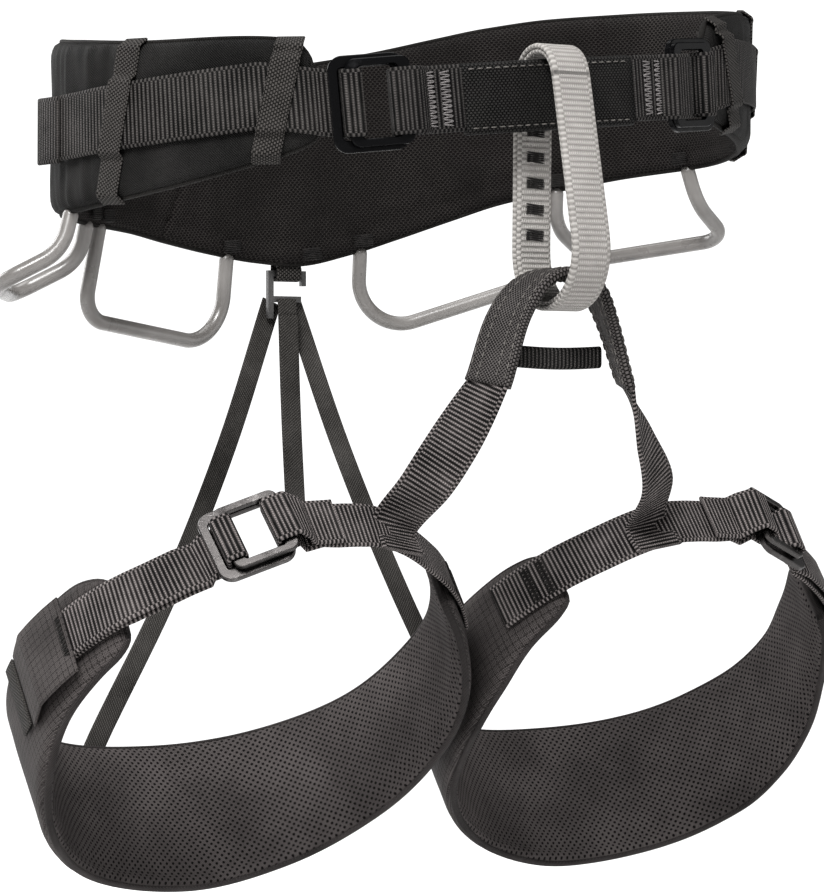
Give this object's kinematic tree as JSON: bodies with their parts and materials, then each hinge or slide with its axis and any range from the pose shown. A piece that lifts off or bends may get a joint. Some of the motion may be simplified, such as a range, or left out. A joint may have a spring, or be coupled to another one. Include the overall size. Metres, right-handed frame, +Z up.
{
  "type": "climbing harness",
  "caption": "Rock climbing sit harness: padded waist belt, belay loop, sleeved tie-in bridge, two adjustable padded leg loops, elastic risers, moulded gear loops and slide buckles.",
  "frame": {"origin": "middle of the waist opening, on the centre line of the waist webbing", "axes": "+Z up on a standing wearer, -Y the way the wearer faces, +X to the wearer's left"},
  "size_m": [0.362, 0.2533, 0.3658],
  "materials": {
    "belay_webbing": "ribbed webbing",
    "belt_fabric": "fine twill, slight sheen",
    "belt_mesh": "perforated spacer mesh",
    "foam": "closed-cell foam, covered",
    "hook_plastic": "smooth satin",
    "keeper_tape": "woven elastic tape",
    "leg_buckle_metal": "gunmetal anodised, satin",
    "leg_mesh": "perforated spacer mesh",
    "leg_ripstop": "ripstop grid weave",
    "leg_webbing": "cross-ribbed webbing",
    "loop_plastic": "smooth satin",
    "riser_tape": "elastic diagonal twill",
    "stitching": "dense zigzag thread",
    "waist_buckle_metal": "black anodised, glossy",
    "waist_webbing": "cross-ribbed webbing",
    "wear_sleeve": "coarse abrasion-proof weave"
  },
  "bodies": {
    "waist": {"belt_foam_core": "foam", "belt_load_webbing": "waist_webbing", "belt_mesh_lining": "belt_mesh", "belt_outer_shell": "belt_fabric", "bridge_sleeve_inner": "wear_sleeve", "bridge_sleeve_outer": "wear_sleeve", "bridge_spacer": "waist_webbing", "bridge_webbing": "waist_webbing", "front_strap_webbing": "waist_webbing", "haul_loop_pocket": "keeper_tape", "riser_tab": "riser_tape", "riser_tab_loop": "riser_tape", "tail_keeper_front_left": "keeper_tape", "tail_keeper_front_right": "keeper_tape", "tail_keeper_rear_left": "keeper_tape", "tail_keeper_rear_right": "keeper_tape", "tie_in_sleeve_back": "wear_sleeve", "tie_in_sleeve_front": "wear_sleeve", "waist_adjuster_webbing_left": "waist_webbing", "waist_adjuster_webbing_right": "waist_webbing", "waist_buckle_frame_left": "waist_buckle_metal", "waist_buckle_frame_right": "waist_buckle_metal", "waist_buckle_slider_left": "waist_buckle_metal", "waist_buckle_slider_right": "waist_buckle_metal", "waist_tail_end_left": "waist_webbing", "waist_tail_end_right": "waist_webbing"},
    "belay_loop_body": {"belay_loop": "belay_webbing", "belay_loop_bartacks": "stitching"},
    "haul_loop_body": {"haul_loop": "loop_plastic"},
    "riser_hook_body": {"riser_hook": "hook_plastic", "riser_centre_front": "riser_tape", "riser_centre_back": "riser_tape"},
    "leg_loop_left": {"bridge_strap_left": "leg_webbing", "leg_adjuster_webbing_left": "leg_webbing", "leg_buckle_frame_left": "leg_buckle_metal", "leg_buckle_slider_left": "leg_buckle_metal", "leg_clipper_slot_left": "keeper_tape", "leg_foam_pad_left": "foam", "leg_front_strap_left": "leg_webbing", "leg_mesh_lining_left": "leg_mesh", "leg_outer_shell_left": "leg_ripstop", "leg_tail_keeper_left": "keeper_tape", "riser_left": "riser_tape"},
    "side_gear_left": {"side_gear_loop_left": "loop_plastic"},
    "rear_gear_left": {"rear_gear_loop_left": "loop_plastic"},
    "leg_loop_right": {"bridge_strap_right": "leg_webbing", "leg_adjuster_webbing_right": "leg_webbing", "leg_buckle_frame_right": "leg_buckle_metal", "leg_buckle_slider_right": "leg_buckle_metal", "leg_clipper_slot_right": "keeper_tape", "leg_foam_pad_right": "foam", "leg_front_strap_right": "leg_webbing", "leg_mesh_lining_right": "leg_mesh", "leg_outer_shell_right": "leg_ripstop", "leg_tail_keeper_right": "keeper_tape", "riser_right": "riser_tape"},
    "side_gear_right": {"side_gear_loop_right": "loop_plastic"},
    "rear_gear_right": {"rear_gear_loop_right": "loop_plastic"}
  },
  "joints": [
    {"name": "belay_loop_swing", "type": "hinge", "parent": "waist", "child": "belay_loop_body", "pos_m": [0, -0.109, 0.012], "axis": [1, 0, 0], "range_deg": [-2, 2]},
    {"name": "haul_loop_swing", "type": "hinge", "parent": "waist", "child": "haul_loop_body", "pos_m": [0, 0.1108, -0.004], "axis": [1, 0, 0], "range_deg": [-3, 55]},
    {"name": "riser_hook_swing", "type": "hinge", "parent": "waist", "child": "riser_hook_body", "pos_m": [0, 0.1061, -0.0609], "axis": [1, 0, 0], "range_deg": [-3, 3]},
    {"name": "left_leg_loop_swing", "type": "hinge", "parent": "waist", "child": "leg_loop_left", "pos_m": [0, -0.113, -0.112], "axis": [1, 0, 0], "range_deg": [-25, 20], "stiffness_Nm_per_rad": 1.5, "springref_deg": 3.55, "deforming": ["riser_left", "bridge_strap_left"]},
    {"name": "right_leg_loop_swing", "type": "hinge", "parent": "waist", "child": "leg_loop_right", "pos_m": [0, -0.113, -0.112], "axis": [1, 0, 0], "range_deg": [-25, 20], "stiffness_Nm_per_rad": 1.5, "springref_deg": 3.55, "deforming": ["riser_right", "bridge_strap_right"]},
    {"name": "side_gear_loop_left_swing", "type": "hinge", "parent": "waist", "child": "side_gear_left", "pos_m": [0.1292, 0.03959, -0.02123], "axis": [0.5278, -0.841, 0.1185], "range_deg": [-12, 30], "stiffness_Nm_per_rad": 0.04},
    {"name": "side_gear_loop_right_swing", "type": "hinge", "parent": "waist", "child": "side_gear_right", "pos_m": [-0.13027, 0.03714, -0.04596], "axis": [0.5041, 0.8636, -0.0087], "range_deg": [-12, 30], "stiffness_Nm_per_rad": 0.04},
    {"name": "rear_gear_loop_left_swing", "type": "hinge", "parent": "waist", "child": "rear_gear_left", "pos_m": [0.0686, 0.08628, -0.03939], "axis": [0.8876, -0.3428, 0.3076], "range_deg": [-12, 30], "stiffness_Nm_per_rad": 0.04},
    {"name": "rear_gear_loop_right_swing", "type": "hinge", "parent": "waist", "child": "rear_gear_right", "pos_m": [-0.0685, 0.086, -0.05126], "axis": [0.926, 0.3585, -0.1181], "range_deg": [-12, 30], "stiffness_Nm_per_rad": 0.04}
  ]
}
